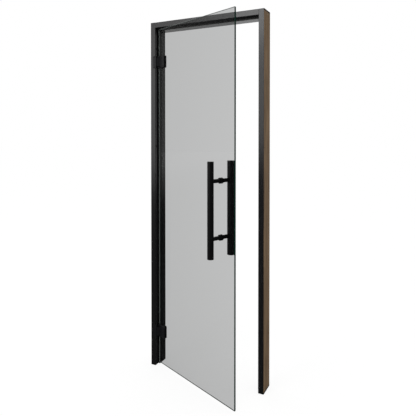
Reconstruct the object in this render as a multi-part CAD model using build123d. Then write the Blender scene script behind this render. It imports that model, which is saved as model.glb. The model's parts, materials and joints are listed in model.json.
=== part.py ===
from build123d import *
import os

# A framed glass door that stands ajar. X runs across the doorway from the hinge jamb's wall face,
# Y runs into the wall from the frame's mid-depth and Z up from the floor. All sizes are millimetres.

# Timber frame: two rebated jambs of full height with a head let in between them
frame_width = 690.0
frame_height = 1990.0
frame_depth = 95.0
lip_width = 30.0
stop_step = 12.0
rebate_depth = 32.0
arris_radius = 1.5

# Screws that join the head to the jambs
corner_screw_length = 88.0
corner_screw_radius = 2.5
corner_screw_head_radius = 5.0
corner_screw_drop = 18.0
corner_screw_depth_shares = (0.3, 0.7)

# Countersunk holes through the jamb lips, for screws into the wall
fixing_setback = 12.0
fixing_radius = 2.75
fixing_head_radius = 5.5
fixing_inset = 150.0
fixing_count = 4

# Seal: a domed strip on the stop, held in a groove by a barbed stem
seal_width = 7.0
seal_room = 3.0
seal_clearance = 0.3
groove_width = 3.0
groove_depth = 5.0
stem_width = 2.0
barb_count = 3
barb_tip_share = 0.4

# Toughened pane
glass_thickness = 8.0
glass_side_gap = 3.0
glass_top_gap = 8.0
glass_bottom_gap = 14.0
glass_corner_radius = 3.0
glass_arris = 0.8
glass_hole_radius = 6.0
open_angle = 22.3

# Hinges, two of them, each the same distance from an end of the glass
hinge_inset = 190.0
hinge_height = 68.0
knuckle_radius = 6.0
end_knuckle_height = 10.0
pin_radius = 3.0
pin_head_radius = 5.0
pin_head_height = 2.0
running_gap = 0.05
washer_thickness = 1.0
hinge_leaf_width = 14.0
hinge_leaf_thickness = 4.0
hinge_leaf_setback = 1.0
hinge_leaf_corner = 3.0
leaf_screw_edge = 5.5
leaf_screw_spacing = 15.0
leaf_screw_count = 3
leaf_screw_radius = 2.0
leaf_screw_head_radius = 4.0
leaf_screw_length = 30.0

# The hinge's clamp on the glass
block_start = 3.0
block_width = 55.0
block_thickness = 7.0
block_corner = 2.0
block_edge = 1.0
cheek_width = 8.0
cheek_thickness = 15.0
arm_root = 4.0
arm_reach = 18.0
gasket_thickness = 1.0
gasket_margin = 1.0
clamp_plate_start = 14.0
clamp_plate_thickness = 6.0
clamp_plate_corner = 3.0
clamp_plate_edge = 1.2
clamp_screw_spacing = 36.0
clamp_screw_radius = 3.0
clamp_screw_head_radius = 6.0
clamp_screw_grip = 5.0
clamp_screw_flush = 0.4

# Pull bars, one on each face of the glass
handle_height = 976.0
handle_inset = 101.0
bar_room = 49.0
outer_bar_radius = 16.0
inner_bar_radius = 20.0
bar_wall = 2.0
bar_length = 475.0
cap_thickness = 3.0
cap_spigot = 10.0
cap_edge = 1.0
post_spacing = 282.0
post_radius = 10.0
rosette_radius = 15.0
rosette_thickness = 4.5
rosette_edge = 1.0
stud_radius = 4.0
stud_grip = 24.0
stud_end_room = 1.0
grub_radius = 2.5
grub_setback = 14.0

# Sprung roller catch, let into the latch jamb's lip
catch_setback = 17.0
catch_plate_height = 64.0
catch_plate_width = 22.0
catch_plate_thickness = 2.0
catch_recess_gap = 0.2
catch_barrel_radius = 9.0
catch_barrel_bore = 7.5
catch_depth_share = 0.8
catch_end_wall = 2.0
catch_mouth_radius = 6.5
catch_screw_spacing = 46.0
catch_screw_radius = 1.75
catch_screw_head_radius = 3.5
catch_screw_length = 20.0
plunger_gap = 0.1
plunger_nose = 1.2
plunger_body = 7.0
plunger_nose_chamfer = 0.6
spigot_radius = 4.0
spigot_length = 3.0
roller_radius = 5.0
roller_reach = 4.0
roller_width = 4.8
roller_side_gap = 0.2
roller_edge = 0.6
roller_pin_radius = 1.5
roller_pin_recess = 0.3
roller_slot_room = 0.5
spring_wire = 1.2
spring_radius = 5.8
spring_turns = 4

# Shared by all screws and cuts
screw_gap = 0.05
screw_drive_share = 0.42
screw_drive_sides = 6
screw_tip_share = 0.15
screw_point_share = 0.4
cut_overrun = 2.0

# Places that follow from the sizes above
front_y = -frame_depth / 2
back_y = frame_depth / 2
stop_y = front_y + rebate_depth
stop_x = lip_width + stop_step
latch_lip_x = frame_width - lip_width
rebate_top = frame_height - lip_width
stop_top = rebate_top - stop_step
glass_back_y = stop_y - seal_room
glass_front_y = glass_back_y - glass_thickness
glass_mid_y = glass_back_y - glass_thickness / 2
glass_left = lip_width + glass_side_gap
glass_right = latch_lip_x - glass_side_gap
glass_top = rebate_top - glass_top_gap
axis_x = lip_width + knuckle_radius
axis_y = front_y - hinge_leaf_thickness / 2
hinge_heights = {"upper": glass_top - hinge_inset, "lower": glass_bottom_gap + hinge_inset}
handle_x = glass_right - handle_inset
catch_back_x = latch_lip_x + lip_width * catch_depth_share
catch_well_x = catch_back_x - catch_end_wall
post_heights = {"upper": handle_height + post_spacing / 2, "lower": handle_height - post_spacing / 2}
swing = Pos(axis_x, axis_y) * Rot(0, 0, -open_angle) * Pos(-axis_x, -axis_y)

into_wall = Vector(0, 1, 0)
across = Vector(1, 0, 0)
up = Vector(0, 0, 1)
standing = (Align.CENTER, Align.CENTER, Align.MIN)


# Shapes that several pieces share
def cuboid(low, high):
    """A box between its lowest and highest corners."""
    size = [top - base for base, top in zip(low, high)]
    return Pos(*low) * Box(*size, align=(Align.MIN, Align.MIN, Align.MIN))


def prism(points, low, high):
    """An upright solid on an outline in plan."""
    return Pos(0, 0, low) * extrude(make_face(Polyline(*points, close=True)), amount=high - low)


def rod(radius, start, direction, length):
    """A round bar from a point along a direction."""
    return extrude(Plane(origin=start, z_dir=direction) * Circle(radius), amount=length)


def ring(radius, bore, start, direction, length):
    """A round bar with a hole along it."""
    return rod(radius, start, direction, length) - rod(bore, start, direction, length)


def countersunk(seat, direction, head_radius, shank_radius, length):
    """A flat-headed screw's body, whose cone of 90 degrees starts at its seat."""
    cone_depth = head_radius - shank_radius
    head = Plane(origin=seat, z_dir=direction) * Cone(head_radius, shank_radius, cone_depth, align=standing)
    neck = seat + direction * cone_depth
    return head + rod(shank_radius, neck, direction, length - cone_depth)


def drive_socket(seat, direction, head_radius):
    """The hexagon recess in a screw's head."""
    size = head_radius * screw_drive_share
    hexagon = Plane(origin=seat, z_dir=direction) * RegularPolygon(size, screw_drive_sides)
    return extrude(hexagon, amount=size)


def wood_screw(seat, direction, head_radius, shank_radius, length):
    """A countersunk screw with a tapered tip."""
    tip = length * screw_tip_share
    body = countersunk(seat, direction, head_radius, shank_radius, length - tip)
    point = Plane(origin=seat + direction * (length - tip), z_dir=direction)
    body += point * Cone(shank_radius, shank_radius * screw_point_share, tip, align=standing)
    return body - drive_socket(seat, direction, head_radius)


def screw_hole(seat, direction, head_radius, shank_radius, length):
    """The hole that a countersunk screw leaves."""
    return countersunk(seat, direction, head_radius, shank_radius + screw_gap, length + screw_gap)


def group(pieces):
    """Separate like pieces that share a node."""
    return Compound([solid for piece in pieces for solid in piece.solids()])


def to_latch_side(piece):
    """The mirror image of a hinge-side piece."""
    return mirror(piece, about=Plane.YZ.offset(frame_width / 2))


# Frame
def corner_screw_seats():
    """Where the screws enter the hinge jamb's wall face."""
    run = back_y - stop_y
    height = frame_height - corner_screw_drop
    return [Vector(0, stop_y + run * share, height) for share in corner_screw_depth_shares]


def corner_screw_holes():
    """The holes of the corner screws on the hinge side, through the jamb and into the head."""
    sizes = (corner_screw_head_radius, corner_screw_radius, corner_screw_length)
    return [screw_hole(seat, across, *sizes) for seat in corner_screw_seats()]


def fixing_heights():
    """Heights of the wall fixings, spaced evenly between the two ends."""
    pitch = (frame_height - fixing_inset * 2) / (fixing_count - 1)
    return [fixing_inset + place * pitch for place in range(fixing_count)]


def plain_jamb():
    """A rebated jamb with its seal groove, wall fixings and corner screw holes."""
    corners = [(0, front_y), (lip_width, front_y), (lip_width, stop_y),
               (stop_x, stop_y), (stop_x, back_y), (0, back_y)]
    section = make_face(Polyline(*corners, close=True))
    inner_corner = Vector(lip_width, stop_y)
    arrises = [v for v in section.vertices() if (Vector(v.X, v.Y) - inner_corner).length > arris_radius]
    section = fillet(arrises, arris_radius)
    groove = Rectangle(groove_width, groove_depth, align=(Align.CENTER, Align.MIN))
    section -= Pos(seal_line(), stop_y) * groove
    jamb = extrude(section, amount=frame_height)
    for height in fixing_heights():
        seat = Vector(lip_width, front_y + fixing_setback, height)
        jamb -= countersunk(seat, -across, fixing_head_radius, fixing_radius, lip_width)
    for hole in corner_screw_holes():
        jamb -= hole
    return jamb


def seal_line():
    """How far the seal's middle lies from the outside of a jamb or the head."""
    return stop_x - arris_radius - seal_width / 2


def hinge_jamb():
    """The jamb that carries the hinges."""
    jamb = plain_jamb()
    for height in hinge_heights.values():
        for seat in leaf_screw_seats(height):
            jamb -= screw_hole(seat, into_wall, leaf_screw_head_radius, leaf_screw_radius, leaf_screw_length)
    return jamb


def latch_jamb():
    """The jamb that the free edge closes against, bored for the roller catch."""
    jamb = to_latch_side(plain_jamb())
    recess = catch_outline(catch_plate_width + catch_recess_gap, catch_plate_height + catch_recess_gap)
    jamb -= extrude(recess, amount=catch_plate_thickness)
    pocket = catch_back_x - latch_lip_x + catch_recess_gap
    jamb -= rod(catch_barrel_radius + catch_recess_gap / 2, catch_seat(), across, pocket)
    for seat in catch_screw_seats():
        jamb -= screw_hole(seat, across, catch_screw_head_radius, catch_screw_radius, catch_screw_length)
    return jamb


def head_rail():
    """The head, notched at its ends to sit between the stops of the jambs."""
    corners = [(front_y, frame_height), (front_y, rebate_top), (stop_y, rebate_top),
               (stop_y, stop_top), (back_y, stop_top), (back_y, frame_height)]
    section = make_face(Polyline(*corners, close=True))
    inner_corner = Vector(stop_y, rebate_top)
    arrises = [v for v in section.vertices() if (Vector(v.X, v.Y) - inner_corner).length > arris_radius]
    section = fillet(arrises, arris_radius)
    groove = Rectangle(groove_depth, groove_width, align=(Align.MIN, Align.CENTER))
    section -= Pos(stop_y, frame_height - seal_line()) * groove
    head = extrude(Plane.YZ.offset(lip_width) * section, amount=latch_lip_x - lip_width)
    notch = cuboid((lip_width, stop_y, 0), (stop_x, back_y + cut_overrun, frame_height + cut_overrun))
    for cut in [notch, *corner_screw_holes()]:
        head -= cut
        head -= to_latch_side(cut)
    return head


def seal_dome():
    """The seal's domed face in section, on its stop at Y = 0."""
    dome = ThreePointArc((-seal_width / 2, 0), (0, seal_clearance - seal_room), (seal_width / 2, 0))
    return make_face(dome + Line(dome @ 1, dome @ 0))


def seal_stem():
    """The seal's barbed stem in section, which fills the groove."""
    pitch = groove_depth / barb_count
    tip = groove_width / 2
    root = stem_width / 2
    side = [(root, 0)]
    for barb in range(barb_count):
        side += [(tip, (barb + barb_tip_share) * pitch), (root, (barb + 1) * pitch)]
    return make_face(Polyline(*side, *[(-x, y) for x, y in reversed(side)], close=True))


def jamb_seal():
    """The seal on the hinge jamb, as high as the rebate."""
    section = Pos(seal_line(), stop_y) * (seal_dome() + seal_stem())
    return extrude(section, amount=rebate_top)


def head_seal():
    """The seal on the head, whose dome butts against the seals of the jambs."""
    plane = Plane(origin=(0, stop_y, frame_height - seal_line()), x_dir=up, z_dir=across)
    dome_start = stop_x - arris_radius
    dome = extrude(plane.offset(dome_start) * mirror(seal_dome(), about=Plane.XZ),
                   amount=frame_width - dome_start * 2)
    stem = extrude(plane.offset(stop_x) * mirror(seal_stem(), about=Plane.XZ),
                   amount=frame_width - stop_x * 2)
    return dome + stem


def corner_screws():
    """Both pairs of screws through the jambs into the head."""
    sizes = (corner_screw_head_radius, corner_screw_radius, corner_screw_length)
    hinge_side = [wood_screw(seat, across, *sizes) for seat in corner_screw_seats()]
    return group(hinge_side + [to_latch_side(screw) for screw in hinge_side])


# Glass, drawn closed and swung open with its fittings
def glass_pane():
    """The pane with its arrises ground off and its holes for hinges and handles."""
    width = glass_right - glass_left
    height = glass_top - glass_bottom_gap
    face = RectangleRounded(width, height, glass_corner_radius)
    centre = ((glass_left + glass_right) / 2, glass_front_y, (glass_top + glass_bottom_gap) / 2)
    pane = extrude(Plane(origin=centre, x_dir=across, z_dir=-into_wall) * face, amount=-glass_thickness)
    rims = pane.faces().filter_by(Axis.Y).edges()
    pane = chamfer(rims, glass_arris)
    holes = [place for height in hinge_heights.values() for place in clamp_screw_places(height)]
    holes += [Vector(handle_x, glass_front_y, height) for height in post_heights.values()]
    for place in holes:
        pane -= rod(glass_hole_radius, Vector(place.X, glass_front_y, place.Z), into_wall, glass_thickness)
    return pane


# Hinges
def leaf_screw_seats(height):
    """Where a hinge's wood screws enter its leaf."""
    x = lip_width - hinge_leaf_width + leaf_screw_edge
    middle = (leaf_screw_count - 1) / 2
    return [Vector(x, front_y - hinge_leaf_thickness, height + (place - middle) * leaf_screw_spacing)
            for place in range(leaf_screw_count)]


def hinge_leaf(height):
    """The leaf on the jamb's face, with a knuckle at each end."""
    low, high = height - hinge_height / 2, height + hinge_height / 2
    face_y = front_y - hinge_leaf_thickness
    edge_x = lip_width - hinge_leaf_setback
    leaf = cuboid((lip_width - hinge_leaf_width, face_y, low), (edge_x, front_y, high))
    outer_corners = leaf.edges().filter_by(Axis.Y).group_by(Axis.X)[0]
    leaf = fillet(outer_corners, hinge_leaf_corner)
    root_x = edge_x - knuckle_radius
    ear = [(root_x, face_y), (axis_x, axis_y - knuckle_radius), (axis_x, front_y), (root_x, front_y)]
    for base in (low, high - end_knuckle_height):
        leaf += prism(ear, base, base + end_knuckle_height)
        leaf += rod(knuckle_radius, Vector(axis_x, axis_y, base), up, end_knuckle_height)
    leaf -= rod(pin_radius, Vector(axis_x, axis_y, low), up, hinge_height)
    for seat in leaf_screw_seats(height):
        leaf -= screw_hole(seat, into_wall, leaf_screw_head_radius, leaf_screw_radius, leaf_screw_length)
    return leaf


def hinge_pin(height):
    """The pin, with a flat head on the upper knuckle."""
    low = Vector(axis_x, axis_y, height - hinge_height / 2)
    pin = rod(pin_radius, low, up, hinge_height)
    head = rod(pin_head_radius, low + up * hinge_height, up, pin_head_height)
    return pin + fillet(head.edges().group_by(Axis.Z)[-1], pin_head_height / 2)


def thrust_washers(height):
    """The two washers that keep the knuckles apart."""
    reach = hinge_height / 2 - end_knuckle_height
    seats = (height - reach, height + reach - washer_thickness)
    return group([ring(knuckle_radius, pin_radius + running_gap, Vector(axis_x, axis_y, seat), up,
                       washer_thickness) for seat in seats])


def leaf_screws(height):
    """The wood screws of one hinge leaf."""
    sizes = (leaf_screw_head_radius, leaf_screw_radius, leaf_screw_length)
    return group([wood_screw(seat, into_wall, *sizes) for seat in leaf_screw_seats(height)])


def block_span():
    """The block's left and right ends along the closed glass."""
    left = glass_left + block_start
    return left, left + block_width


def clamp_screw_places(height):
    """Where the clamp screws cross the glass, on the clamp's outer face."""
    left, right = glass_left + clamp_plate_start, block_span()[1]
    y = glass_back_y + gasket_thickness + clamp_plate_thickness
    return [Vector((left + right) / 2, y, height + side * clamp_screw_spacing / 2) for side in (-1, 1)]


def clamp_screw_length():
    """From the clamp plate's face through the glass into the block."""
    return clamp_plate_thickness + gasket_thickness * 2 + glass_thickness + clamp_screw_grip


def block_outline(seat_y):
    """The outer clamp in plan: a plate that thickens to a cheek beside the knuckles."""
    left, right = block_span()
    face_y = seat_y - block_thickness
    corners = [(left, seat_y), (left, seat_y - cheek_thickness), (left + cheek_width, face_y),
               (right, face_y), (right, seat_y)]
    outline = make_face(Polyline(*corners, close=True))
    front = [v for v in outline.vertices() if v.Y < seat_y - block_corner]
    return fillet(front, block_corner)


def hinge_block(height):
    """The outer clamp, carried by a sloping arm on the middle knuckle."""
    left = block_span()[0]
    low = height - hinge_height / 2
    seat_y = glass_front_y - gasket_thickness
    block = Pos(0, 0, low) * extrude(block_outline(seat_y), amount=hinge_height)
    rims = [edge for face in block.faces().filter_by(Axis.Z) for edge in face.edges()
            if edge.center().Y < seat_y - block_edge]
    block = chamfer(rims, block_edge)
    gap = end_knuckle_height + washer_thickness + running_gap
    base = Vector(axis_x, axis_y, low + gap)
    span = hinge_height - gap * 2
    face_y = seat_y - block_thickness
    arm = [(axis_x - arm_root, axis_y), (axis_x, axis_y - knuckle_radius),
           (left + arm_reach, face_y), (left, face_y)]
    block += prism(arm, base.Z, base.Z + span) + rod(knuckle_radius, base, up, span)
    block -= rod(pin_radius + running_gap, base, up, span)
    for place in clamp_screw_places(height):
        hole = Vector(place.X, seat_y, place.Z)
        block -= rod(clamp_screw_radius + screw_gap, hole, -into_wall, clamp_screw_grip + screw_gap)
    return block


def clamp_plate(height):
    """The inner clamp plate behind the glass."""
    left, right = glass_left + clamp_plate_start, block_span()[1]
    seat_y = glass_back_y + gasket_thickness
    low, high = height - hinge_height / 2, height + hinge_height / 2
    plate = cuboid((left, seat_y, low), (right, seat_y + clamp_plate_thickness, high))
    plate = fillet(plate.edges().filter_by(Axis.Y), clamp_plate_corner)
    plate = fillet(plate.faces().sort_by(Axis.Y)[-1].edges(), clamp_plate_edge)
    for place in clamp_screw_places(height):
        plate -= screw_hole(place, -into_wall, clamp_screw_head_radius, clamp_screw_radius,
                            clamp_screw_length())
    return plate


def gasket(height, left, seat_y):
    """A thin pad between the glass and one side of the clamp."""
    right = block_span()[1]
    reach = hinge_height / 2 - gasket_margin
    pad = cuboid((left + gasket_margin, seat_y, height - reach),
                 (right - gasket_margin, seat_y + gasket_thickness, height + reach))
    for place in clamp_screw_places(height):
        hole = Vector(place.X, seat_y, place.Z)
        pad -= rod(clamp_screw_radius + screw_gap, hole, into_wall, gasket_thickness)
    return pad


def clamp_sleeves(height):
    """The sleeves that keep the clamp screws off the glass."""
    places = [Vector(place.X, glass_front_y, place.Z) for place in clamp_screw_places(height)]
    return group([ring(glass_hole_radius - running_gap, clamp_screw_radius + screw_gap, place, into_wall,
                       glass_thickness) for place in places])


def clamp_screws(height):
    """The machine screws that draw the clamp together."""
    sizes = (clamp_screw_head_radius - clamp_screw_flush, clamp_screw_radius)
    screws = []
    for place in clamp_screw_places(height):
        seat = place - into_wall * clamp_screw_flush
        screw = countersunk(seat, -into_wall, *sizes, clamp_screw_length() - clamp_screw_flush)
        screws.append(screw - drive_socket(seat, -into_wall, clamp_screw_head_radius))
    return group(screws)


# Handles, where side is -1 on the front of the glass and 1 on the back
def handle_foot(side, height):
    """The point on a face of the glass under a post."""
    return Vector(handle_x, glass_mid_y + side * glass_thickness / 2, height)


def bar_radius(side):
    """The radius of a bar, which is stouter on the back."""
    return inner_bar_radius if side > 0 else outer_bar_radius


def bar_reach(side):
    """How far a bar's axis stands off the glass."""
    return bar_room + bar_radius(side)


def bar_low(side):
    """The lower end of a bar, on its axis."""
    return handle_foot(side, handle_height - bar_length / 2) + into_wall * side * bar_reach(side)


def pull_bar(side):
    """The tube of a pull bar, without its end caps."""
    radius = bar_radius(side)
    start = bar_low(side) + up * cap_thickness
    return ring(radius, radius - bar_wall, start, up, bar_length - cap_thickness * 2)


def bar_caps(side):
    """The caps pressed into the ends of a bar."""
    caps = []
    radius = bar_radius(side)
    for end, direction in ((bar_low(side), up), (bar_low(side) + up * bar_length, -up)):
        disc = rod(radius, end, direction, cap_thickness)
        disc = fillet(disc.edges().sort_by(Axis(end, direction))[0], cap_edge)
        spigot = rod(radius - bar_wall - running_gap, end, direction, cap_thickness + cap_spigot)
        core = rod(radius - bar_wall * 2, end + direction * cap_thickness, direction, cap_spigot)
        caps.append(disc + spigot - core)
    return group(caps)


def handle_post(side, height):
    """A post from the glass to its bar, coped to the tube and bored for the stud."""
    outward = into_wall * side
    foot = handle_foot(side, height) + outward * gasket_thickness
    post = rod(post_radius, foot, outward, bar_reach(side) - gasket_thickness)
    post -= rod(bar_radius(side), bar_low(side), up, bar_length)
    post -= rod(stud_radius + screw_gap, foot, outward, stud_grip + stud_end_room)
    if side > 0:
        post -= rod(grub_radius + screw_gap, foot + outward * grub_setback, -up, post_radius)
    return post


def rosettes(side):
    """The collars that hide the feet of the posts."""
    outward = into_wall * side
    collars = []
    for height in post_heights.values():
        foot = handle_foot(side, height) + outward * gasket_thickness
        collar = rod(rosette_radius, foot, outward, rosette_thickness)
        collar = fillet(collar.edges().sort_by(Axis(foot, outward))[-1], rosette_edge)
        collars.append(collar - rod(post_radius + running_gap, foot, outward, rosette_thickness))
    return group(collars)


def foot_washers(side):
    """The soft washers between the posts and the glass."""
    outward = into_wall * side
    return group([ring(rosette_radius - gasket_margin, stud_radius + screw_gap, handle_foot(side, height),
                       outward, gasket_thickness) for height in post_heights.values()])


def handle_sleeves():
    """The sleeves that keep the studs off the glass."""
    return group([ring(glass_hole_radius - running_gap, stud_radius + screw_gap, handle_foot(-1, height),
                       into_wall, glass_thickness) for height in post_heights.values()])


def handle_studs():
    """The threaded studs that draw the two handles together."""
    reach = glass_thickness / 2 + gasket_thickness + stud_grip
    starts = [Vector(handle_x, glass_mid_y - reach, height) for height in post_heights.values()]
    return group([rod(stud_radius, start, into_wall, reach * 2) for start in starts])


def grub_screws():
    """The set screws under the inner posts, which lock them on their studs."""
    screws = []
    for height in post_heights.values():
        seat = handle_foot(1, height) + into_wall * (gasket_thickness + grub_setback) - up * stud_radius
        length = post_radius - stud_radius - screw_gap
        screw = rod(grub_radius, seat, -up, length)
        screws.append(screw - drive_socket(seat - up * length, up, grub_radius))
    return group(screws)


# Roller catch
def catch_seat():
    """The middle of the catch on the latch jamb's rebate wall."""
    return Vector(latch_lip_x, front_y + catch_setback, handle_height)


def catch_outline(width, height):
    """The round-ended outline of the catch's face plate, on the rebate wall."""
    plane = Plane(origin=catch_seat(), x_dir=up, z_dir=across)
    return plane * SlotOverall(height, width)


def catch_screw_seats():
    """Where the catch's two screws enter its face plate."""
    return [catch_seat() + up * side * catch_screw_spacing / 2 for side in (-1, 1)]


def catch_housing():
    """The face plate with its barrel, closed behind the spring."""
    barrel_start = catch_seat() + across * catch_plate_thickness
    housing = extrude(catch_outline(catch_plate_width, catch_plate_height), amount=catch_plate_thickness)
    housing += rod(catch_barrel_radius, barrel_start, across, catch_back_x - barrel_start.X)
    housing -= rod(catch_barrel_bore, barrel_start, across, catch_well_x - barrel_start.X)
    housing -= rod(catch_mouth_radius, catch_seat(), across, catch_plate_thickness)
    for seat in catch_screw_seats():
        housing -= screw_hole(seat, across, catch_screw_head_radius, catch_screw_radius, catch_screw_length)
    return housing


def roller_centre():
    """The roller's axis, at the height of the catch."""
    return catch_seat() + across * (roller_radius - roller_reach)


def plunger_back():
    """The shoulder of the plunger that the spring pushes on."""
    return catch_seat() + across * (catch_plate_thickness + plunger_gap + plunger_body)


def catch_plunger():
    """The forked plunger, with a shoulder behind the face plate and a spigot in the spring."""
    shoulder = catch_seat() + across * (catch_plate_thickness + plunger_gap)
    nose_length = plunger_nose + catch_plate_thickness + plunger_gap
    nose_start = catch_seat() - across * plunger_nose
    nose = rod(catch_mouth_radius - plunger_gap, nose_start, across, nose_length)
    nose = chamfer(nose.edges().sort_by(Axis.X)[0], plunger_nose_chamfer)
    plunger = nose + rod(catch_barrel_bore - plunger_gap, shoulder, across, plunger_body)
    plunger += rod(spigot_radius, plunger_back(), across, spigot_length)
    half_slot = roller_width / 2 + roller_side_gap
    centre = roller_centre()
    slot_end = centre.X + roller_radius + roller_slot_room
    plunger -= cuboid((nose_start.X - cut_overrun, centre.Y - catch_barrel_radius, centre.Z - half_slot),
                      (slot_end, centre.Y + catch_barrel_radius, centre.Z + half_slot))
    return plunger - rod(roller_pin_radius, centre - up * catch_barrel_radius, up, catch_barrel_radius * 2)


def catch_roller():
    """The roller that rides over the edge of the glass."""
    start = roller_centre() - up * roller_width / 2
    roller = rod(roller_radius, start, up, roller_width)
    roller = fillet(roller.edges().filter_by(GeomType.CIRCLE), roller_edge)
    return roller - rod(roller_pin_radius + running_gap, start, up, roller_width)


def roller_pin():
    """The pin across the fork."""
    reach = catch_mouth_radius - plunger_gap - roller_pin_recess
    return rod(roller_pin_radius, roller_centre() - up * reach, up, reach * 2)


def catch_spring():
    """The square-wire spring between the plunger's shoulder and the barrel's end wall."""
    start = plunger_back()
    length = catch_well_x - start.X - spring_wire
    path = Helix(pitch=length / spring_turns, height=length, radius=spring_radius)
    wire = Plane(origin=path @ 0, x_dir=across, z_dir=path % 0) * Rectangle(spring_wire, spring_wire)
    coil = sweep(wire, path=path, is_frenet=True)
    return Plane(origin=start + across * spring_wire / 2, z_dir=across) * coil


def catch_screws():
    """The two wood screws of the catch."""
    sizes = (catch_screw_head_radius, catch_screw_radius, catch_screw_length)
    return group([wood_screw(seat, across, *sizes) for seat in catch_screw_seats()])


def fixed_pieces():
    """The frame and all that stays on it."""
    pieces = {
        "hinge_jamb": hinge_jamb(),
        "latch_jamb": latch_jamb(),
        "head_rail": head_rail(),
        "hinge_jamb_seal": jamb_seal(),
        "latch_jamb_seal": to_latch_side(jamb_seal()),
        "head_seal": head_seal(),
        "corner_screws": corner_screws(),
        "catch_housing": catch_housing(),
        "catch_spring": catch_spring(),
        "catch_screws": catch_screws(),
        "catch_plunger": catch_plunger(),
        "catch_roller": catch_roller(),
        "catch_roller_pin": roller_pin(),
    }
    for place, height in hinge_heights.items():
        pieces[f"{place}_hinge_leaf"] = hinge_leaf(height)
        pieces[f"{place}_hinge_pin"] = hinge_pin(height)
        pieces[f"{place}_hinge_washers"] = thrust_washers(height)
        pieces[f"{place}_hinge_leaf_screws"] = leaf_screws(height)
    return pieces


def swinging_pieces():
    """The glass and its fittings, as they lie with the door closed."""
    pieces = {
        "glass_pane": glass_pane(),
        "handle_sleeves": handle_sleeves(),
        "handle_studs": handle_studs(),
        "handle_grub_screws": grub_screws(),
    }
    for place, height in hinge_heights.items():
        block_left = block_span()[0]
        plate_left = glass_left + clamp_plate_start
        pieces[f"{place}_hinge_block"] = hinge_block(height)
        pieces[f"{place}_hinge_clamp_plate"] = clamp_plate(height)
        pieces[f"{place}_hinge_outer_gasket"] = gasket(height, block_left, glass_front_y - gasket_thickness)
        pieces[f"{place}_hinge_inner_gasket"] = gasket(height, plate_left, glass_back_y)
        pieces[f"{place}_hinge_sleeves"] = clamp_sleeves(height)
        pieces[f"{place}_hinge_clamp_screws"] = clamp_screws(height)
    for name, side in (("outer", -1), ("inner", 1)):
        pieces[f"{name}_bar"] = pull_bar(side)
        pieces[f"{name}_bar_caps"] = bar_caps(side)
        pieces[f"{name}_rosettes"] = rosettes(side)
        pieces[f"{name}_foot_washers"] = foot_washers(side)
        for place, height in post_heights.items():
            pieces[f"{name}_{place}_post"] = handle_post(side, height)
    return pieces


os.makedirs("parts", exist_ok=True)
for node, piece in fixed_pieces().items():
    export_step(piece, f"parts/{node}.step")
for node, piece in swinging_pieces().items():
    export_step(swing * piece, f"parts/{node}.step")
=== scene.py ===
"""Finishes, light and camera for a framed glass door that stands ajar."""
import json
import math

import bpy
from bpy.props import FloatProperty, FloatVectorProperty, PointerProperty
from mathutils import Matrix, Quaternion, Vector


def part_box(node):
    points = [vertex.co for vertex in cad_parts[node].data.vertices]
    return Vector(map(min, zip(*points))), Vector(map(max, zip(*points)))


bl_info = {
    "name": "Framed glass door",
    "version": (1, 0, 0),
    "blender": (4, 5, 0),
    "location": "View3D > Sidebar > Glass door",
    "description": "Gives a framed glass door its finishes and sets it on a plain stage",
    "category": "Object",
}

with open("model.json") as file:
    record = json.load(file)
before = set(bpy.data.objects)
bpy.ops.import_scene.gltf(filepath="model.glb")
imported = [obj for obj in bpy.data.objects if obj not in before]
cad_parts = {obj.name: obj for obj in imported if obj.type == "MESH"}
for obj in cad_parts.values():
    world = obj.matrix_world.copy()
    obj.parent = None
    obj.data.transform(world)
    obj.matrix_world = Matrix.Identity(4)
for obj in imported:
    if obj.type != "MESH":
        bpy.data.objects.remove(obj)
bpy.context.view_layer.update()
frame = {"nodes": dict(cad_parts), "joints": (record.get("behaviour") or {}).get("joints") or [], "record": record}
MILLIMETRE = 0.001
WHITE = (1, 1, 1, 1)
JOINTS = {joint["name"]: joint for joint in frame["joints"]}
# Turn of the leaf about Z as it stands ajar, measured from the closed door
LEAF_ANGLE = math.radians(JOINTS["leaf_swing"]["range_deg"][0])
# Corners of the frame: the foot of the hinge jamb at the wall, and the top of the latch jamb at the wall
NEAR_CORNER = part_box("hinge_jamb")[0]
FAR_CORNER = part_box("latch_jamb")[1]
# Level direction from the door to the bright side of the studio
BRIGHT_SIDE = (-0.6, 0.8, 0)


# Settings
def linear(hex_colour):
    """An sRGB hex colour as linear red, green and blue."""
    levels = [int(hex_colour[place:place + 2], 16) / 255 for place in (1, 3, 5)]
    return [v / 12.92 if v <= 0.04045 else ((v + 0.055) / 1.055) ** 2.4 for v in levels]


def colour(name, description, hex_colour):
    """A colour that the user can change."""
    return FloatVectorProperty(name=name, description=description, subtype="COLOR", size=3, min=0, max=1,
                               default=linear(hex_colour))


def length(name, description, default):
    """A size in metres that the user can change."""
    return FloatProperty(name=name, description=description, unit="LENGTH", default=default)


def share(name, description, default):
    """A value from 0 to 1 that the user can change."""
    return FloatProperty(name=name, description=description, subtype="FACTOR", min=0, max=1, default=default)


def number(name, description, default):
    """A plain value that the user can change."""
    return FloatProperty(name=name, description=description, default=default)


def angle(name, description, degrees):
    """A turn that the user can change."""
    return FloatProperty(name=name, description=description, subtype="ANGLE", default=math.radians(degrees))


def spot(name, description, default):
    """A point in metres that the user can change."""
    return FloatVectorProperty(name=name, description=description, subtype="TRANSLATION", default=default)


def lamp_size(name, description, default):
    """A lamp's width and height in metres that the user can change."""
    return FloatVectorProperty(name=name, description=description, unit="LENGTH", size=2, default=default)


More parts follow.
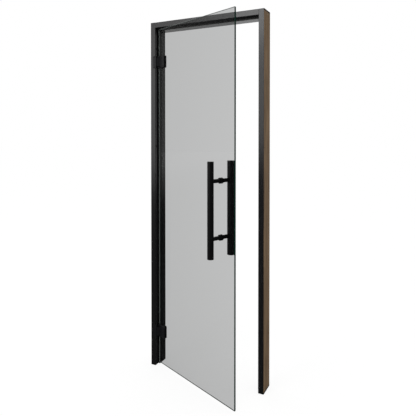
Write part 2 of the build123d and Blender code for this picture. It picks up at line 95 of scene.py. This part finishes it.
class FrameFinish(bpy.types.PropertyGroup):
    """Black paint on brown timber."""
    paint: colour("Paint", "Satin black paint on the faces that show", "#0c0c0d")
    thin_paint: colour("Thin paint", "The paint where it lies thin over the grain", "#161617")
    early_wood: colour("Early wood", "Paler bands of the bare timber", "#8e7251")
    late_wood: colour("Late wood", "Darker bands of the bare timber", "#5e482e")
    end_seal: colour("End seal", "Dark sealer on the sawn ends", "#1d1813")
    paint_roughness: share("Paint roughness", "Roughness of the satin paint", 0.22)
    timber_roughness: share("Timber roughness", "Roughness of the bare timber", 0.8)
    grain_width: length("Grain width", "Width of one pair of growth bands", 4 * MILLIMETRE)
    grain_length: length("Grain length", "How far a growth band runs before it changes", 160 * MILLIMETRE)
    grain_depth: length("Grain depth", "Relief of the growth bands", 0.1 * MILLIMETRE)
    paint_wrap: length("Paint edge", "How close to the wall face the paint reaches", 0.4 * MILLIMETRE)
    seal_height: length("End seal height", "How far the sealer reaches from a sawn end", 8 * MILLIMETRE)


class GlassFinish(bpy.types.PropertyGroup):
    """Grey toughened glass."""
    tint: colour("Tint", "Colour that the body of the glass lets through", "#bdbebe")
    density: number("Density", "How strongly the body absorbs, per metre", 130)
    # Glass has 1.5, and a lower value keeps the pane as free of mirrored light as the real one looks
    bending: number("Index of refraction", "How strongly the faces bend and mirror light", 1.2)
    free_edge: colour("Free edge", "Colour of the polished free edge, seen end on", "#0a2a21")
    # Painted light: paler than the end edges, to show the edge beside the hinges lit in the rebate's shade
    hinge_edge_painted_light: colour("Hinge edge", "Colour of the ground edge beside the hinges", "#9aa29e")
    end_edge: colour("End edges", "Colour of the ground edges at the top and the foot", "#7c8380")
    edge_roughness: share("Edge roughness", "Roughness of all four edges", 0.35)
    edge_width: length("Edge width", "How far the ground arris reaches in from an edge", 1.5 * MILLIMETRE)
    free_width: length("Free edge width", "How far in the free edge shows dark", 2.8 * MILLIMETRE)
    wave_pitch: length("Roller wave", "Distance between the waves left by the rollers", 85 * MILLIMETRE)
    wave_depth: length("Wave depth", "Relief of the roller waves", 0.05 * MILLIMETRE)


class MetalFinish(bpy.types.PropertyGroup):
    """Powder coat, zinc and nylon on the fittings."""
    bar_coat: colour("Bar coat", "Fine black powder coat of the handles", "#080809")
    hinge_coat: colour("Hinge coat", "Fine blue-black powder coat of the hinges", "#0b0b10")
    bar_gloss: share("Bar gloss", "How much the handles' coat mirrors", 0.25)
    hinge_gloss: share("Hinge gloss", "How much the hinges' coat mirrors", 0.5)
    zinc: colour("Zinc", "Plated steel of the hidden screws and the catch", "#b4b7ba")
    yellow_zinc: colour("Yellow zinc", "Yellow plated steel of the screws in the timber", "#8f7a52")
    nylon: colour("Nylon", "Moulded washers, sleeves and roller", "#161617")
    spread: share("Colour spread", "How far coat and nylon stray to both sides of their shade", 0.4)
    # The next three grains are drawn coarser than life, so that they show
    coat_grain: length("Coat grain", "Size of the powder coat's grain", 0.8 * MILLIMETRE)
    zinc_grain: length("Zinc grain", "Size of the specks in the zinc's sheen", 0.3 * MILLIMETRE)
    nylon_grain: length("Nylon grain", "Size of the mottle on the nylon", 1.6 * MILLIMETRE)
    coat_depth: length("Coat depth", "Relief of the powder coat's grain", 0.05 * MILLIMETRE)


class SealFinish(bpy.types.PropertyGroup):
    """Black extruded rubber."""
    rubber: colour("Rubber", "Black rubber of the seals", "#1f1f1e")
    bloom: colour("Bloom", "Grey bloom on the rubber", "#30302e")
    roughness: share("Rubber roughness", "Roughness of the rubber", 0.45)
    speckle: length("Speckle", "Size of the bloom's patches", 12 * MILLIMETRE)


class StageSettings(bpy.types.PropertyGroup):
    """Floor, light and camera."""
    floor: colour("Floor", "Pale studio floor", "#6c6c6c")
    floor_size: length("Floor size", "Width of the floor", 60)
    floor_glow: share("Floor glow", "How bright the floor looks before any light falls on it", 0.88)
    glow_start: length("Glow start", "How far off the mirrored floor starts to brighten", 2.5)
    glow_end: length("Glow end", "How far off the mirrored floor is brightest", 6.5)
    ambient: number("Ambient", "Strength of the light from all around", 0.8)
    dim_front: share("Dim front", "What polished surfaces mirror of the studio in front of the door", 0.1)
    bright_aim: share("Bright aim", "How squarely a mirrored ray meets the bright side to be white", 0.95)
    wide_power: number("Wide lamp", "Power of the wide soft lamp in watts", 64)
    wide_place: spot("Wide lamp place", "Where the wide lamp hangs", (-2.1, -5.0, 2.4))
    wide_target: spot("Wide lamp target", "What the wide lamp faces", (0.3, 0, 1.3))
    wide_size: lamp_size("Wide lamp size", "Width and height of the wide lamp", (3.6, 3.2))
    wide_roll: angle("Wide lamp roll", "Turn of the wide lamp about its aim", 18)
    high_power: number("High lamp", "Power of the high soft lamp in watts", 22)
    high_place: spot("High lamp place", "Where the high lamp hangs", (-1.2, -5.0, 3.6))
    high_target: spot("High lamp target", "What the high lamp faces", (0.3, 0, 1.6))
    high_size: lamp_size("High lamp size", "Width and height of the high lamp", (1.8, 1.1))
    high_roll: angle("High lamp roll", "Turn of the high lamp about its aim", 0)
    camera_place: spot("Camera place", "Where the camera stands", (1.4365, -2.2028, 1.3427))
    camera_yaw: angle("Camera yaw", "Turn of the camera about the vertical", 26.327)
    camera_pitch: angle("Camera pitch", "Tilt of the camera above the horizon", -0.839)
    camera_lens: number("Lens", "Focal length in millimetres", 38.226)
    camera_sensor: number("Sensor", "Width of the sensor in millimetres", 36)
    camera_shift: number("Shift", "Vertical shift of the lens", -0.16023)


class DoorSettings(bpy.types.PropertyGroup):
    """All settings of the door and its stage."""
    timber: PointerProperty(type=FrameFinish)
    glass: PointerProperty(type=GlassFinish)
    metal: PointerProperty(type=MetalFinish)
    seal: PointerProperty(type=SealFinish)
    stage: PointerProperty(type=StageSettings)


# Materials
# Noise levels at which early wood starts to turn late, and has turned
BAND_EDGES = (0.35, 0.65)
# Distance between two bands of the wave texture at scale 1
WAVE_PERIOD = math.pi / 10
# Least and greatest roughness of the broken-up surfaces
COAT_ROUGHNESS = (0.36, 0.5)
ZINC_ROUGHNESS = (0.25, 0.5)
NYLON_ROUGHNESS = (0.45, 0.65)


def add_node(tree, kind, inputs=None, **settings):
    """Adds a shader node, sets its properties, and sets or links its inputs."""
    node = tree.nodes.new("ShaderNode" + kind)
    for name, value in settings.items():
        setattr(node, name, value)
    for name, value in (inputs or {}).items():
        if isinstance(value, bpy.types.NodeSocket):
            tree.links.new(value, node.inputs[name])
        else:
            node.inputs[name].default_value = value
    return node


def new_material(name):
    """An empty node material."""
    material = bpy.data.materials.new(name)
    material.use_nodes = True
    material.node_tree.nodes.clear()
    return material, material.node_tree


def opaque(rgb):
    """A colour with full alpha, as colour sockets take it."""
    return (*rgb, 1.0)


def two_shades(shade, spread):
    """A darker and a paler colour to both sides of a shade."""
    dark = [level * (1 - spread) for level in shade]
    pale = [level * (1 + spread) for level in shade]
    return opaque(dark), opaque(pale)


def painted_timber(settings, name, grain_axis, wall_axis, wall_place):
    """Planed softwood with sprayed satin paint: a smooth dark film that lets a little grain through, and
    bare brown bands on the face against the wall."""
    material, tree = new_material(name)
    place = add_node(tree, "TexCoord").outputs["Object"]
    parts = add_node(tree, "SeparateXYZ", {"Vector": place})
    stretch = [1 / settings.grain_width] * 3
    stretch["XYZ".index(grain_axis)] = 1 / settings.grain_length
    grain_place = add_node(tree, "Mapping", {"Vector": place, "Scale": stretch})
    grain = add_node(tree, "TexNoise", {"Vector": grain_place.outputs[0], "Scale": 1.0, "Detail": 6.0,
                                        "Roughness": 0.6, "Distortion": 0.4})
    bands = add_node(tree, "MapRange", {"Value": grain.outputs["Fac"], "From Min": BAND_EDGES[0],
                                        "From Max": BAND_EDGES[1]})
    timber = add_node(tree, "Mix", {"Factor": bands.outputs[0], "A": opaque(settings.early_wood),
                                    "B": opaque(settings.late_wood)}, data_type="RGBA")
    offset = add_node(tree, "Math", {0: parts.outputs[wall_axis], 1: wall_place}, operation="SUBTRACT")
    depth = add_node(tree, "Math", {0: offset.outputs[0]}, operation="ABSOLUTE")
    bare = add_node(tree, "Math", {0: depth.outputs[0], 1: settings.paint_wrap}, operation="LESS_THAN")
    low = add_node(tree, "Math", {0: parts.outputs["Z"], 1: NEAR_CORNER.z + settings.seal_height},
                   operation="LESS_THAN")
    high = add_node(tree, "Math", {0: parts.outputs["Z"], 1: FAR_CORNER.z - settings.seal_height},
                    operation="GREATER_THAN")
    ends = add_node(tree, "Math", {0: low.outputs[0], 1: high.outputs[0]}, operation="MAXIMUM")
    sealed = add_node(tree, "Mix", {"Factor": ends.outputs[0], "A": timber.outputs["Result"],
                                    "B": opaque(settings.end_seal)}, data_type="RGBA")
    paint = add_node(tree, "Mix", {"Factor": bands.outputs[0], "A": opaque(settings.paint),
                                   "B": opaque(settings.thin_paint)}, data_type="RGBA")
    surface = add_node(tree, "Mix", {"Factor": bare.outputs[0], "A": paint.outputs["Result"],
                                     "B": sealed.outputs["Result"]}, data_type="RGBA")
    rough = add_node(tree, "MapRange", {"Value": bare.outputs[0], "To Min": settings.paint_roughness,
                                        "To Max": settings.timber_roughness})
    relief = add_node(tree, "Bump", {"Height": bands.outputs[0], "Strength": 0.15,
                                     "Distance": settings.grain_depth})
    shader = add_node(tree, "BsdfPrincipled", {"Base Color": surface.outputs["Result"],
                                               "Roughness": rough.outputs[0],
                                               "Normal": relief.outputs[0]})
    add_node(tree, "OutputMaterial", {"Surface": shader.outputs[0]})
    return material


def squared_pane():
    """Centre and half size of the glass pane, turned square to the frame."""
    turn = Matrix.Rotation(-LEAF_ANGLE, 3, "Z")
    corners = [turn @ vertex.co for vertex in frame["nodes"]["glass_pane"].data.vertices]
    low = Vector([min(corner[axis] for corner in corners) for axis in range(3)])
    high = Vector([max(corner[axis] for corner in corners) for axis in range(3)])
    return (low + high) / 2, (high - low) / 2


def glass_edges(tree, settings, place):
    """Masks of the free edge, of the edge beside the hinges, and of all four edges together."""
    centre, reach = squared_pane()
    square = add_node(tree, "Mapping", {"Vector": place, "Rotation": (0, 0, -LEAF_ANGLE),
                                        "Location": -centre})
    parts = add_node(tree, "SeparateXYZ", {"Vector": square.outputs[0]})
    free = add_node(tree, "Math", {0: parts.outputs["X"], 1: reach.x - settings.free_width},
                    operation="GREATER_THAN")
    hinged = add_node(tree, "Math", {0: parts.outputs["X"], 1: settings.edge_width - reach.x},
                      operation="LESS_THAN")
    height = add_node(tree, "Math", {0: parts.outputs["Z"]}, operation="ABSOLUTE")
    ends = add_node(tree, "Math", {0: height.outputs[0], 1: reach.z - settings.edge_width},
                    operation="GREATER_THAN")
    ground = add_node(tree, "Math", {0: hinged.outputs[0], 1: ends.outputs[0]}, operation="MAXIMUM")
    rim = add_node(tree, "Math", {0: ground.outputs[0], 1: free.outputs[0]}, operation="MAXIMUM")
    return free.outputs[0], hinged.outputs[0], rim.outputs[0]


def toughened_glass(settings):
    """Grey float glass, tempered on rollers, with its edges ground and the free one polished: clear and
    flat, with faint waves across it, pale matt edges, and a dark green free edge where its body is seen
    end on. The edge beside the hinges is painted paler than the top and foot edges: painted light on an
    edge that sits in the shade of the rebate."""
    material, tree = new_material("grey_toughened_glass")
    place = add_node(tree, "TexCoord").outputs["Object"]
    free, hinged, rim = glass_edges(tree, settings, place)
    # Painted light: the edge beside the hinges takes a paler colour than the top and foot edges
    ground = add_node(tree, "Mix", {"Factor": hinged, "A": opaque(settings.end_edge),
                                    "B": opaque(settings.hinge_edge_painted_light)}, data_type="RGBA")
    edge = add_node(tree, "Mix", {"Factor": free, "A": ground.outputs["Result"],
                                  "B": opaque(settings.free_edge)}, data_type="RGBA")
    surface = add_node(tree, "Mix", {"Factor": rim, "A": WHITE, "B": edge.outputs["Result"]},
                       data_type="RGBA")
    clear = add_node(tree, "MapRange", {"Value": rim, "To Min": 1.0, "To Max": 0.0})
    rough = add_node(tree, "MapRange", {"Value": rim, "To Min": 0.0, "To Max": settings.edge_roughness})
    wave = add_node(tree, "TexWave", {"Vector": place, "Scale": WAVE_PERIOD / settings.wave_pitch,
                                      "Distortion": 0.3}, bands_direction="Z", wave_profile="SIN")
    relief = add_node(tree, "Bump", {"Height": wave.outputs["Fac"], "Strength": 0.05,
                                     "Distance": settings.wave_depth})
    shader = add_node(tree, "BsdfPrincipled", {"Base Color": surface.outputs["Result"],
                                               "IOR": settings.bending,
                                               "Roughness": rough.outputs[0],
                                               "Transmission Weight": clear.outputs[0],
                                               "Normal": relief.outputs[0]})
    body = add_node(tree, "VolumeAbsorption", {"Color": opaque(settings.tint), "Density": settings.density})
    add_node(tree, "OutputMaterial", {"Surface": shader.outputs[0], "Volume": body.outputs[0]})
    return material


def powder_coat(settings, name, shade, gloss):
    """Polyester powder baked on metal: near black, with a fine even grain that breaks up highlights."""
    material, tree = new_material(name)
    place = add_node(tree, "TexCoord").outputs["Object"]
    grain = add_node(tree, "TexNoise", {"Vector": place, "Scale": 1 / settings.coat_grain, "Detail": 3.0})
    rough = add_node(tree, "MapRange", {"Value": grain.outputs["Fac"], "To Min": COAT_ROUGHNESS[0],
                                        "To Max": COAT_ROUGHNESS[1]})
    relief = add_node(tree, "Bump", {"Height": grain.outputs["Fac"], "Strength": 0.2,
                                     "Distance": settings.coat_depth})
    dark, pale = two_shades(shade, settings.spread)
    surface = add_node(tree, "Mix", {"Factor": grain.outputs["Fac"], "A": dark, "B": pale},
                       data_type="RGBA")
    shader = add_node(tree, "BsdfPrincipled", {"Base Color": surface.outputs["Result"],
                                               "Roughness": rough.outputs[0], "Specular IOR Level": gloss,
                                               "Normal": relief.outputs[0]})
    add_node(tree, "OutputMaterial", {"Surface": shader.outputs[0]})
    return material


def zinc_steel(settings, name, shade):
    """Drawn steel with a thin coat of zinc: pale metal with a fine broken sheen."""
    material, tree = new_material(name)
    place = add_node(tree, "TexCoord").outputs["Object"]
    specks = add_node(tree, "TexNoise", {"Vector": place, "Scale": 1 / settings.zinc_grain, "Detail": 2.0})
    rough = add_node(tree, "MapRange", {"Value": specks.outputs["Fac"], "To Min": ZINC_ROUGHNESS[0],
                                        "To Max": ZINC_ROUGHNESS[1]})
    shader = add_node(tree, "BsdfPrincipled", {"Base Color": opaque(shade), "Metallic": 1.0,
                                               "Roughness": rough.outputs[0]})
    add_node(tree, "OutputMaterial", {"Surface": shader.outputs[0]})
    return material


def moulded_nylon(settings):
    """Injection-moulded nylon: dark and matt, with a faint mottle from the mould."""
    material, tree = new_material("moulded_nylon")
    place = add_node(tree, "TexCoord").outputs["Object"]
    mottle = add_node(tree, "TexNoise", {"Vector": place, "Scale": 1 / settings.nylon_grain, "Detail": 2.0})
    rough = add_node(tree, "MapRange", {"Value": mottle.outputs["Fac"], "To Min": NYLON_ROUGHNESS[0],
                                        "To Max": NYLON_ROUGHNESS[1]})
    dark, pale = two_shades(settings.nylon, settings.spread)
    surface = add_node(tree, "Mix", {"Factor": mottle.outputs["Fac"], "A": dark, "B": pale},
                       data_type="RGBA")
    shader = add_node(tree, "BsdfPrincipled", {"Base Color": surface.outputs["Result"],
                                               "Roughness": rough.outputs[0]})
    add_node(tree, "OutputMaterial", {"Surface": shader.outputs[0]})
    return material


def seal_rubber(settings):
    """Extruded rubber: matt black, with greyer patches where the surface has bloomed."""
    material, tree = new_material("extruded_rubber")
    place = add_node(tree, "TexCoord").outputs["Object"]
    patches = add_node(tree, "TexNoise", {"Vector": place, "Scale": 1 / settings.speckle, "Detail": 4.0})
    surface = add_node(tree, "Mix", {"Factor": patches.outputs["Fac"], "A": opaque(settings.rubber),
                                     "B": opaque(settings.bloom)}, data_type="RGBA")
    shader = add_node(tree, "BsdfPrincipled", {"Base Color": surface.outputs["Result"],
                                               "Roughness": settings.roughness})
    add_node(tree, "OutputMaterial", {"Surface": shader.outputs[0]})
    return material


# Pieces
def dress(node, material):
    """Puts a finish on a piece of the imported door."""
    slots = frame["nodes"][node].data.materials
    slots.clear()
    slots.append(material)


def nodes_in_slot(*slots):
    """The pieces whose finish is one of the record's slots."""
    return [part["node"] for part in frame["record"]["subparts"] if part["material_slot"] in slots]


class GLASSDOOR_OT_frame(bpy.types.Operator):
    """Paint the jambs and the head, and leave their wall faces bare"""
    bl_idname = "glassdoor.frame"
    bl_label = "Finish frame"

    def execute(self, context):
        timber = context.scene.glass_door.timber
        dress("hinge_jamb", painted_timber(timber, "painted_softwood_hinge_jamb", "Z", "X", NEAR_CORNER.x))
        dress("latch_jamb", painted_timber(timber, "painted_softwood_latch_jamb", "Z", "X", FAR_CORNER.x))
        dress("head_rail", painted_timber(timber, "painted_softwood_head", "X", "Z", FAR_CORNER.z))
        return {"FINISHED"}


class GLASSDOOR_OT_seals(bpy.types.Operator):
    """Give the seals and gaskets their rubber"""
    bl_idname = "glassdoor.seals"
    bl_label = "Finish seals"

    def execute(self, context):
        rubber = seal_rubber(context.scene.glass_door.seal)
        for node in nodes_in_slot("seal_rubber"):
            dress(node, rubber)
        return {"FINISHED"}


class GLASSDOOR_OT_glass(bpy.types.Operator):
    """Give the pane its grey glass"""
    bl_idname = "glassdoor.glass"
    bl_label = "Finish glass"

    def execute(self, context):
        pane = frame["nodes"]["glass_pane"]
        dress("glass_pane", toughened_glass(context.scene.glass_door.glass))
        # Light and mirrored rays pass the pane as they pass thin clear glass
        pane.visible_shadow = False
        pane.visible_glossy = False
        return {"FINISHED"}


class GLASSDOOR_OT_fittings(bpy.types.Operator):
    """Coat the hinges and handles, and give the small fittings their steel and nylon"""
    bl_idname = "glassdoor.fittings"
    bl_label = "Finish fittings"

    def execute(self, context):
        metal = context.scene.glass_door.metal
        hinge_coat = powder_coat(metal, "blue_black_powder_coat", metal.hinge_coat, metal.hinge_gloss)
        bar_coat = powder_coat(metal, "black_powder_coat", metal.bar_coat, metal.bar_gloss)
        steel = zinc_steel(metal, "zinc_plated_steel", metal.zinc)
        yellow_steel = zinc_steel(metal, "yellow_zinc_plated_steel", metal.yellow_zinc)
        nylon = moulded_nylon(metal)
        # The inner bar has the blue-black coat of the hinges
        for node in nodes_in_slot("black_metal"):
            dress(node, hinge_coat if "hinge" in node or "inner_bar" in node else bar_coat)
        for node in nodes_in_slot("screw_steel", "catch_steel"):
            dress(node, yellow_steel if node == "corner_screws" else steel)
        for node in nodes_in_slot("nylon"):
            dress(node, nylon)
        return {"FINISHED"}


# Stage
def by_ray(tree, seen, mirrored, lit):
    """One strength for rays that show the background, one for mirrored rays and one for rays that light."""
    path = add_node(tree, "LightPath")
    direct = add_node(tree, "Math", {0: path.outputs["Is Camera Ray"],
                                     1: path.outputs["Is Transmission Ray"]}, operation="MAXIMUM")
    polished = add_node(tree, "Math", {0: path.outputs["Glossy Depth"], 1: 0.0}, operation="GREATER_THAN")
    plain = add_node(tree, "Mix", {"Factor": direct.outputs[0], "A": lit, "B": seen})
    mixed = add_node(tree, "Mix", {"Factor": polished.outputs[0], "A": plain.outputs["Result"],
                                   "B": mirrored})
    return mixed.outputs["Result"]


def light_world(stage):
    """White to look at, a plain even light on the door, and for polish a dim front and a white back."""
    world = bpy.data.worlds.new("white_studio")
    world.use_nodes = True
    tree = world.node_tree
    tree.nodes.clear()
    place = add_node(tree, "TexCoord")
    towards = add_node(tree, "VectorMath", {0: place.outputs["Generated"], 1: BRIGHT_SIDE},
                       operation="DOT_PRODUCT")
    mirrored = add_node(tree, "MapRange", {"Value": towards.outputs["Value"], "From Min": 0.0,
                                           "From Max": stage.bright_aim,
                                           "To Min": stage.dim_front, "To Max": 1.0})
    strength = by_ray(tree, 1.0, mirrored.outputs[0], stage.ambient)
    sky = add_node(tree, "Background", {"Color": WHITE, "Strength": strength})
    add_node(tree, "OutputWorld", {"Surface": sky.outputs[0]})
    bpy.context.scene.world = world


def lay_floor(stage):
    """A pale floor that is white where no shadow falls."""
    bpy.ops.object.select_all(action="DESELECT")
    bpy.ops.mesh.primitive_plane_add(size=stage.floor_size, location=(0, 0, 0))
    floor = bpy.context.active_object
    floor.name = "studio_floor"
    material, tree = new_material("pale_floor")
    place = add_node(tree, "TexCoord")
    towards = add_node(tree, "VectorMath", {0: place.outputs["Object"], 1: BRIGHT_SIDE},
                       operation="DOT_PRODUCT")
    mirrored = add_node(tree, "MapRange", {"Value": towards.outputs["Value"],
                                           "From Min": stage.glow_start, "From Max": stage.glow_end,
                                           "To Min": 0.0, "To Max": stage.floor_glow})
    # By itself the floor lights the door half as strongly as the studio around it
    glow = by_ray(tree, stage.floor_glow, mirrored.outputs[0], stage.ambient / 2)
    light = add_node(tree, "Emission", {"Color": WHITE, "Strength": glow})
    paint = add_node(tree, "BsdfDiffuse", {"Color": opaque(stage.floor)})
    both = add_node(tree, "AddShader", {0: light.outputs[0], 1: paint.outputs[0]})
    add_node(tree, "OutputMaterial", {"Surface": both.outputs[0]})
    floor.data.materials.append(material)


def hang_lamp(name, place, target, size, power, roll):
    """A large soft lamp that faces a point on the door, shows in polish and stays unseen itself."""
    bpy.ops.object.light_add(type="AREA", location=place)
    lamp = bpy.context.active_object
    lamp.name = name
    aim = (Vector(target) - Vector(place)).to_track_quat("-Z", "Y")
    lamp.rotation_euler = (aim @ Quaternion((0, 0, 1), roll)).to_euler()
    lamp.data.shape = "RECTANGLE"
    lamp.data.size, lamp.data.size_y = size
    lamp.data.energy = power
    lamp.visible_camera = False
    lamp.visible_transmission = False


def place_camera(stage):
    """The camera stands to the right of the door, nearly level, with its lens shifted down."""
    bpy.ops.object.camera_add(location=stage.camera_place,
                              rotation=(math.pi / 2 + stage.camera_pitch, 0, stage.camera_yaw))
    camera = bpy.context.active_object
    camera.data.sensor_width = stage.camera_sensor
    camera.data.lens = stage.camera_lens
    camera.data.shift_y = stage.camera_shift
    bpy.context.scene.camera = camera


class GLASSDOOR_OT_stage(bpy.types.Operator):
    """Set the floor, the light and the camera"""
    bl_idname = "glassdoor.stage"
    bl_label = "Set stage"

    def execute(self, context):
        stage = context.scene.glass_door.stage
        light_world(stage)
        lay_floor(stage)
        hang_lamp("wide_lamp", stage.wide_place, stage.wide_target, stage.wide_size, stage.wide_power,
                  stage.wide_roll)
        hang_lamp("high_lamp", stage.high_place, stage.high_target, stage.high_size, stage.high_power,
                  stage.high_roll)
        place_camera(stage)
        context.scene.view_settings.view_transform = "Standard"
        return {"FINISHED"}


class GLASSDOOR_PT_panel(bpy.types.Panel):
    """Lists the door's settings and steps"""
    bl_idname = "GLASSDOOR_PT_panel"
    bl_label = "Glass door"
    bl_space_type = "VIEW_3D"
    bl_region_type = "UI"
    bl_category = "Glass door"

    def draw(self, context):
        settings = context.scene.glass_door
        for group in (settings.timber, settings.glass, settings.metal, settings.seal, settings.stage):
            box = self.layout.box()
            for name in group.__annotations__:
                box.prop(group, name)
        for operator in OPERATORS:
            self.layout.operator(operator.bl_idname)


OPERATORS = (GLASSDOOR_OT_frame, GLASSDOOR_OT_seals, GLASSDOOR_OT_glass, GLASSDOOR_OT_fittings,
             GLASSDOOR_OT_stage)
CLASSES = (FrameFinish, GlassFinish, MetalFinish, SealFinish, StageSettings, DoorSettings, *OPERATORS,
           GLASSDOOR_PT_panel)


def register():
    """Adds the classes and the door's settings to Blender."""
    for cls in CLASSES:
        bpy.utils.register_class(cls)
    bpy.types.Scene.glass_door = PointerProperty(type=DoorSettings)


def unregister():
    """Takes the settings and the classes away again."""
    del bpy.types.Scene.glass_door
    for cls in reversed(CLASSES):
        bpy.utils.unregister_class(cls)


def main():
    """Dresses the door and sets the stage."""
    register()
    bpy.ops.glassdoor.frame()
    bpy.ops.glassdoor.seals()
    bpy.ops.glassdoor.glass()
    bpy.ops.glassdoor.fittings()
    bpy.ops.glassdoor.stage()


if __name__ == "__main__":
    main()
